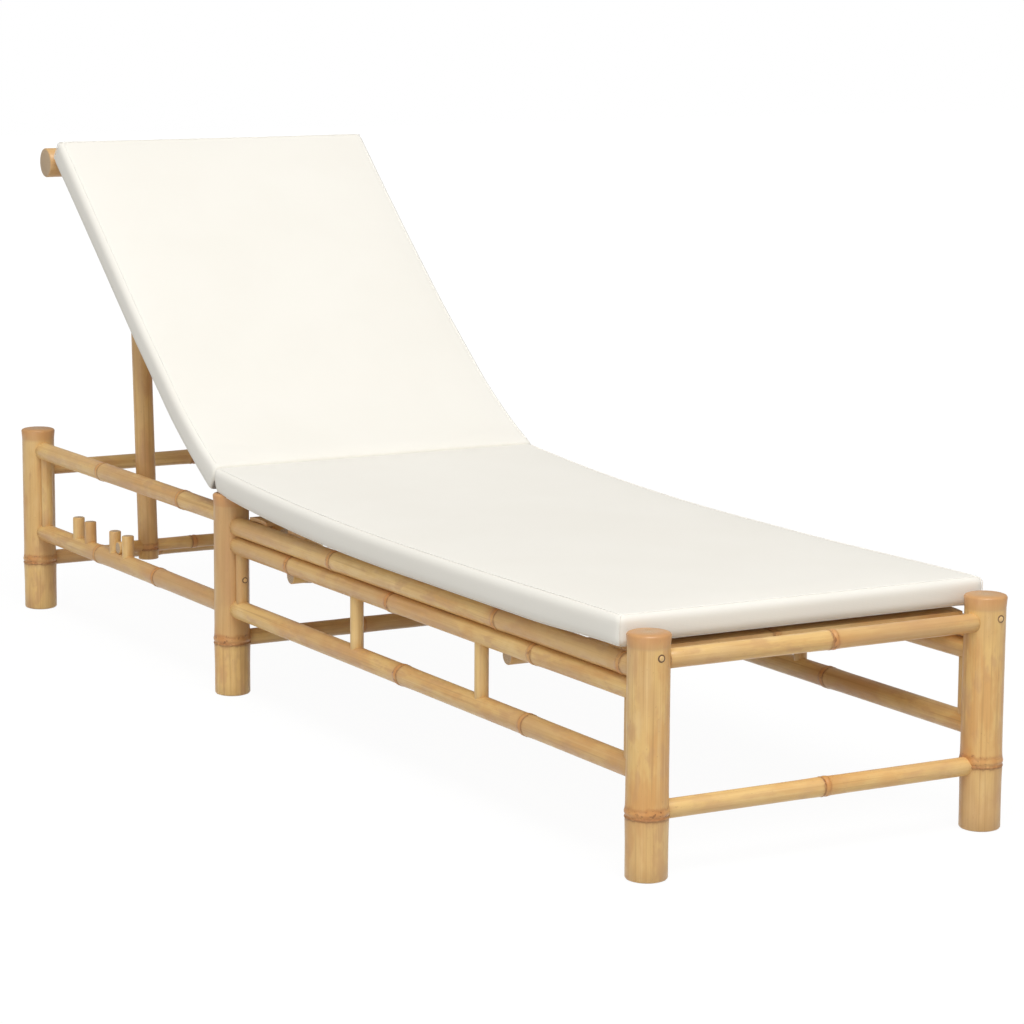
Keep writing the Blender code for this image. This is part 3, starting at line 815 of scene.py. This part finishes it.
def band_point(level, low, high):
    """How far inside the outline the side band lies at this level, and at what height. Its
    lower edge is rounded a little and its upper edge more."""
    lower = LOW_ROUND * math.pi / 2
    upright = high - low - LOW_ROUND - TOP_ROUND
    run = level * (lower + upright + TOP_ROUND * math.pi / 2)
    if run < lower:
        turn = run / LOW_ROUND
        return LOW_ROUND * (1.0 - math.sin(turn)), low + LOW_ROUND * (1.0 - math.cos(turn))
    if run < lower + upright:
        return 0.0, low + LOW_ROUND + run - lower
    turn = (run - lower - upright) / TOP_ROUND
    return TOP_ROUND * (1.0 - math.cos(turn)), high - TOP_ROUND * (1.0 - math.sin(turn))


def swell_of(t):
    """How full a panel's crown is at this share of its length: none at the ends."""
    return (4.0 * t * (1.0 - t)) ** 0.3 if 0.0 < t < 1.0 else 0.0


def drawn_in(x, t, inset):
    """Pulls the sides in between the corners, and round the edges of the band."""
    return x * (1.0 - (SIDE_DRAW * 4.0 * t * (1.0 - t) + inset) / CUSHION_HALF)


def inflate(pad, pinned, bed, band, cap):
    """Blows the cover up with cloth simulation, and caps how far each point moves, the band's
    less. The points of the bed, which lie on the slats, don't sink."""
    group = pad.vertex_groups.new(name="sewn")
    group.add(pinned, 1.0, "REPLACE")
    rest = [v.co.copy() for v in pad.data.vertices]
    cloth = pad.modifiers.new("cover", "CLOTH")
    cloth.settings.quality = 6
    cloth.settings.mass = 0.3
    cloth.settings.tension_stiffness = 25.0
    cloth.settings.compression_stiffness = 25.0
    cloth.settings.shear_stiffness = 12.0
    cloth.settings.bending_stiffness = 0.8
    cloth.settings.use_pressure = True
    cloth.settings.uniform_pressure_force = CLOTH_PRESSURE
    cloth.settings.vertex_group_mass = "sewn"
    cloth.settings.effector_weights.gravity = 0.0
    cloth.collision_settings.use_collision = False
    cloth.point_cache.frame_start = 1
    cloth.point_cache.frame_end = CLOTH_FRAMES
    for step in range(1, CLOTH_FRAMES + 1):
        scene.frame_set(step)
    graph = bpy.context.evaluated_depsgraph_get()
    blown = [v.co.copy() for v in pad.evaluated_get(graph).data.vertices]
    pad.modifiers.remove(cloth)
    pad.vertex_groups.clear()
    scene.frame_set(1)
    for vert, old, new in zip(pad.data.vertices, rest, blown):
        move = new - old
        if move.length > 1e-9:
            most = cap * BAND_SHARE if vert.index in band else cap
            move *= most * math.tanh(move.length / most) / move.length
        if vert.index in bed:
            move.z = max(0.0, move.z)
        vert.co = old + move


def ring_order(rim):
    """The points of a closed rim, one after the other."""
    rim_set = set(rim)
    order = [rim[0]]
    while True:
        others = [e.other_vert(order[-1]) for e in order[-1].link_edges]
        step = [v for v in others if v in rim_set and v not in order[-2:]]
        if not step or step[0] is order[0]:
            return order
        order.append(step[0])


def seam_line(name, points):
    """The seam's folded edge: a thin round bead through the points."""
    line = bpy.data.curves.new(name, "CURVE")
    line.dimensions = "3D"
    line.bevel_depth = SEAM_R
    line.bevel_resolution = 2
    spline = line.splines.new("POLY")
    spline.points.add(len(points) - 1)
    for knot, point in zip(spline.points, points):
        knot.co = (*point, 1.0)
    holder = bpy.data.objects.new("seam line", line)
    scene.collection.objects.link(holder)
    graph = bpy.context.evaluated_depsgraph_get()
    mesh = bpy.data.meshes.new_from_object(holder.evaluated_get(graph))
    bpy.data.objects.remove(holder, do_unlink=True)
    mesh.materials.clear()
    mesh.materials.append(PAINTED_HIGHLIGHT_SEAM)
    for polygon in mesh.polygons:
        polygon.use_smooth = True
    seam_piece = bpy.data.objects.new(name, mesh)
    scene.collection.objects.link(seam_piece)
    return seam_piece


def pad_cover(name, first, last, form, finish, node, cap, fold):
    """A box cushion: two gridded panels and a side band, shaped by form, then inflated.
    form(x, along, level) gives the place in the pad's own axes, and finish moves it home. No
    seam runs along the fold, where the top panel goes on into the other pad."""
    columns = round(2 * CUSHION_HALF / CLOTH_STEP)
    rows = round((last - first) / CLOTH_STEP)
    shape = bmesh.new()
    cloth_uv = shape.loops.layers.uv.new("cloth")
    level = shape.verts.layers.float.new("level")
    fold_at = shape.verts.layers.float.new("fold")
    # An attribute for the painted shade in the fold's wedge.
    painted_crease_shade = shape.verts.layers.float.new("painted_crease_shade")
    bmesh.ops.create_grid(shape, x_segments=columns, y_segments=rows, size=0.5)
    for vert in shape.verts:
        vert[level] = 1.0
        vert.co.x *= 2 * CUSHION_HALF
        vert.co.y = first + (vert.co.y + 0.5) * (last - first)
    copy = bmesh.ops.duplicate(shape, geom=shape.verts[:] + shape.edges[:] + shape.faces[:])
    low_faces = [g for g in copy["geom"] if isinstance(g, bmesh.types.BMFace)]
    for vert in {v for f in low_faces for v in f.verts}:
        vert[level] = 0.0
        vert.co.z = -FLAT_DEEP
    bmesh.ops.reverse_faces(shape, faces=low_faces)
    rims = [e for e in shape.edges if e.is_boundary]
    bridged = bmesh.ops.bridge_loops(shape, edges=rims)
    uprights = [e for e in bridged["edges"] if e.verts[0][level] != e.verts[1][level]]
    bmesh.ops.subdivide_edges(shape, edges=uprights, cuts=BAND_ROWS - 1, use_grid_fill=True)
    for vert in shape.verts:
        if 0.0001 - FLAT_DEEP < vert.co.z < -0.0001:
            vert[level] = 1.0 + vert.co.z / FLAT_DEEP
    shape.verts.index_update()
    for face in shape.faces:
        face.smooth = True
        levels = [v[level] for v in face.verts]
        on_band = max(levels) - min(levels) > 0.01
        for loop in face.loops:
            at = loop.vert.co
            loop[cloth_uv].uv = (at.x + at.y, at.z) if on_band else (at.x, at.y)

    free = first if fold == last else last
    corners = {-1: [], 1: []}
    for vert in shape.verts:
        if abs(vert.co.y - free) < 0.0001 and abs(vert.co.x) > CUSHION_HALF - 0.0001:
            corners[1 if vert.co.x > 0 else -1].append(vert)
        vert[fold_at] = 1.0 if abs(vert.co.y - fold) < 0.002 else 0.0
        # The fold's inner wall below that level takes the painted shade.
        inner = abs(vert.co.x) < CUSHION_HALF - 0.001 and vert[level] < PAINTED_SHADE_BELOW
        vert[painted_crease_shade] = vert[fold_at] if inner else 0.0
        x, along = rounded_plan(vert.co.x, vert.co.y, first, last, fold)
        vert.co = form(x, along, vert[level])
    bmesh.ops.recalc_face_normals(shape, faces=shape.faces[:])

    seams = []
    for seam_level in (1.0, 0.0):
        rim = [v for v in shape.verts if abs(v[level] - seam_level) < 0.001
               and any(abs(e.other_vert(v)[level] - seam_level) > 0.001 for e in v.link_edges)]
        order = ring_order(rim)
        turn = [v[fold_at] > 0.5 for v in order].index(True)
        order = order[turn:] + order[:turn]
        seams.append([v.index for v in order if v[fold_at] < 0.5])
    for corner in corners.values():
        seams.append([v.index for v in sorted(corner, key=lambda v: v[level])])
    sewn = [v.index for v in shape.verts if v[fold_at] > 0.5]
    sewn += [i for seam in seams for i in seam]
    bed = {v.index for v in shape.verts if v[level] < 0.001}
    band = {v.index for v in shape.verts if 0.001 < v[level] < 0.999}
    data = bpy.data.meshes.new(name)
    shape.to_mesh(data)
    shape.free()
    pad = bpy.data.objects.new(name, data)
    scene.collection.objects.link(pad)
    data.materials.append(CANVAS)
    inflate(pad, sewn, bed, band, cap)
    if finish:
        finish(pad)
    smooth = pad.modifiers.new("smooth", "SUBSURF")
    smooth.levels = 1
    smooth.render_levels = 1
    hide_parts(node)
    lines = []
    for number, seam in enumerate(seams):
        points = [data.vertices[index].co for index in seam]
        lines.append(seam_line(f"{name}_seam_{number + 1}", points))
    return pad, lines


# Seat pad. It lies on the slats at the foot end and rises over the middle legs' tops to the
# fold. Its ends at the fold are cut away below, so that a wedge opens under the fold; shade is
# painted into its inner walls.
SEAT_FIRST = -0.9541
SEAT_LAST = 0.2240
SEAT_LENGTH = SEAT_LAST - SEAT_FIRST
SEAT_LOW = 0.2862
SEAT_HIGH = 0.3235
SEAT_RISE_FROM = 0.62
LOW_RISE = 0.0295
HIGH_RISE = 0.0255
LOW_TIP = 0.0055
HIGH_TIP = 0.0035
SEAT_CROWN = 0.0025
SEAT_SINK = 0.0016
SEAT_SLAT_END = 0.250
SEAT_DROOP = 0.0035
SEAT_SAG = 0.0120
SAG_END = 0.262
WEDGE_TALL = 0.55
WEDGE_DEEP = 0.0090


def seat_form(x, along, level):
    before = max(0.0, 1.0 - (SEAT_LAST - along) / SEAT_RISE_FROM)
    t = (along - SEAT_FIRST) / SEAT_LENGTH
    u = x / CUSHION_HALF
    low = SEAT_LOW + LOW_RISE * before ** 2.4 + LOW_TIP * eased((-0.72 - along) / 0.22)
    between = eased((SAG_END - abs(x)) / 0.035) * math.sin(math.pi * min(1.0, before ** 0.8))
    low = max(SEAT_LOW - SEAT_SINK, low - SEAT_SAG * between)
    low -= SEAT_DROOP * eased((abs(x) - SEAT_SLAT_END) / 0.022)
    high = SEAT_HIGH + HIGH_RISE * before ** 2 + HIGH_TIP * eased((-0.55 - along) / 0.40)
    inset, z = band_point(level, low, high)
    if level > 0.999:
        z += SEAT_CROWN * (1.0 - abs(u) ** 3) * swell_of(t)
    wedge = WEDGE_DEEP * max(0.0, 1.0 - level / WEDGE_TALL) * eased((t - 0.975) / 0.025)
    return Vector((drawn_in(x, t, inset), along + inset * (1.0 - t) - wedge, z))


seat_pad, seat_seams = pad_cover("seat_cushion", SEAT_FIRST, SEAT_LAST, seat_form, None,
                                 "cushion_seat", PUFF_MOST, SEAT_LAST)
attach(seat_pad, "frame")
for piece in seat_seams:
    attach(piece, "frame")


# Back pad. The same cover lies on the back's slats, and its sides droop past their ends. Its
# lower end follows the seat at the fold and its upper end the back, so that it bends there.
RECLINE = math.radians(37.9)
ALONG = Vector((0.0, math.cos(RECLINE), math.sin(RECLINE)))
BACK_FIRST = 0.0578
BACK_LAST = 0.8235
BACK_LENGTH = BACK_LAST - BACK_FIRST
BACK_BED = 0.0240
BACK_THICK = 0.0415
BACK_LEAST = 0.020
BACK_EDGE = 0.0035
BACK_EDGE_UPPER = 0.0162
BACK_EDGE_FOLD = 0.0225
BACK_CROWN = 0.0030
BACK_SLAT_END = 0.226
BACK_WEDGE_TALL = 0.667


def back_form(x, along, level):
    t = (along - BACK_FIRST) / BACK_LENGTH
    u = x / CUSHION_HALF
    edge_low = BACK_EDGE + BACK_EDGE_UPPER * max(0.0, (along - 0.40) / 0.37) ** 1.2
    edge_low += BACK_EDGE_FOLD * min(1.0, max(0.0, (0.25 - along) / 0.20)) ** 1.6
    high = edge_low + BACK_THICK
    over = eased((abs(x) - BACK_SLAT_END) / 0.050)
    low = min(BACK_BED, high - BACK_LEAST) * (1.0 - over) + edge_low * over
    inset, q = band_point(level, low, high)
    if level > 0.999:
        q += BACK_CROWN * (1.0 - abs(u) ** 3) * swell_of(t)
    square_to = low + (high - low) * BACK_WEDGE_TALL
    slant = math.tan(RECLINE) * (1.0 - eased(t / 0.10)) * max(0.0, q - square_to)
    return Vector((drawn_in(x, t, inset), along - inset * t + slant, q))


def raise_back(pad):
    pad.data.transform(Matrix.Translation(HINGE) @ Matrix.Rotation(RECLINE, 4, "X"))


back_pad, back_seams = pad_cover("back_cushion", BACK_FIRST, BACK_LAST, back_form, raise_back,
                                 "cushion_back", PUFF_MOST, BACK_FIRST)
for piece in [back_pad] + back_seams:
    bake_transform(piece)


# Back poles and top bar. Two culms turn on the hinge rod and carry the slats. A thick bar
# across their upper ends shows on both sides of the cushion.
POLE_R = 0.0159
POLE_X = 0.176
POLE_TAIL = 0.024
BAR_R = 0.024
BAR_EDGE = 0.0016
BAR_S = 0.8389
BAR_BITE = 0.016
RING_SHIFT = 0.02
bar_middle = HINGE + ALONG * BAR_S
bar_half = Vector((0.282, 0.0, 0.0))
pole("top_bar_culm", bar_middle - bar_half, bar_middle + bar_half, BAR_R,
     (0.118, 0.292, 0.447), "backrest", "top_bar", sides=40, edge=BAR_EDGE)
for side, sign in SIDES.items():
    step = Vector((sign * POLE_X, 0.0, 0.0))
    marks = (0.175 + RING_SHIFT * sign, 0.420 + RING_SHIFT * sign, 0.735)
    pole(f"back_pole_culm_{side}", HINGE + step - ALONG * POLE_TAIL,
         HINGE + step + ALONG * (BAR_S - BAR_BITE), POLE_R, marks, "backrest",
         f"back_pole_{side}", straight=True)


# Prop. Two uprights turn on a pivot rod through the back poles. The rod through their lower
# ends lies on the lower rails, between the pegs.
PIVOT_S = 0.5652
PIVOT_R = 0.0070
PROP_LEAN = math.radians(3.0)
PROP_LONG = 0.4458
PROP_X = 0.2098
PROP_TAIL = 0.022
PROP_HEAD = 0.0165
PROP_ROD_R = 0.0100
PIVOT = HINGE + ALONG * PIVOT_S
PROP_UP = Vector((0.0, math.sin(PROP_LEAN), math.cos(PROP_LEAN)))
PROP_FOOT = PIVOT - PROP_UP * PROP_LONG
rod_half = Vector((0.264, 0.0, 0.0))
pivot_half = Vector((0.2278, 0.0, 0.0))
for side, sign in SIDES.items():
    step = Vector((sign * PROP_X, 0.0, 0.0))
    pole(f"prop_culm_{side}", PROP_FOOT + step - PROP_UP * PROP_TAIL,
         PIVOT + step + PROP_UP * PROP_HEAD, POLE_R, (0.016, 0.415), "prop",
         f"prop_upright_{side}", dome=True, tones=(0.1, 0.45, 0.3), straight=True)
pole("prop_foot_rod", PROP_FOOT - rod_half, PROP_FOOT + rod_half, PROP_ROD_R, (0.130, 0.395),
     "prop", "prop_rod", sides=24)
pole("pivot_dowel", PIVOT - pivot_half, PIVOT + pivot_half, PIVOT_R, (), "backrest",
     "pivot_rod", sides=24, finish=DARK_WOOD, slot="dark_bamboo", plain=True)


# Dowels. Small pale wooden plugs sit in the dark rims of the screw holes, on the foot legs'
# front faces, the head legs' rear faces and the sticks beside the middle legs.
HOLE_DARK = bamboo_material("screw hole", (0.12, 0.06, 0.03, 1.0), (0.09, 0.04, 0.02, 1.0),
                            (0.16, 0.09, 0.04, 1.0))
LEG_HOLE_R = 0.0052
STICK_HOLE_R = 0.0046
DOWEL_SHARE = 0.66
HOLE_DEEP = 0.004
HOLE_OUT = 0.0004
DOWEL_OUT = 0.0012
HOLE_EDGE = 0.0004
DOWEL_EDGE = 0.0006
TO_FOOT = Vector((0.0, -1.0, 0.0))
TO_HEAD = Vector((0.0, 1.0, 0.0))
for side, sign in SIDES.items():
    for name, at, way, radius in (
        ("foot", (sign * 0.2585 + 0.003, FOOT_Y - LEG_R, 0.283), TO_FOOT, LEG_HOLE_R),
        ("head", (sign * 0.2545, HEAD_Y + LEG_R, 0.253), TO_HEAD, LEG_HOLE_R),
        ("stick", (sign * LEG_X, MIDDLE_Y - BESIDE_LEG - STICK_R, 0.184), TO_FOOT,
         STICK_HOLE_R),
    ):
        mouth = Vector(at)
        root = mouth - way * HOLE_DEEP
        pole(f"screw_hole_{name}_{side}", root, mouth + way * HOLE_OUT, radius, (), "frame",
             sides=20, edge=HOLE_EDGE, finish=HOLE_DARK, slot="dark_bamboo", plain=True)
        pole(f"dowel_{name}_{side}", root, mouth + way * DOWEL_OUT, radius * DOWEL_SHARE, (),
             "frame", sides=20, edge=DOWEL_EDGE, plain=True, tones=(-1.0,))
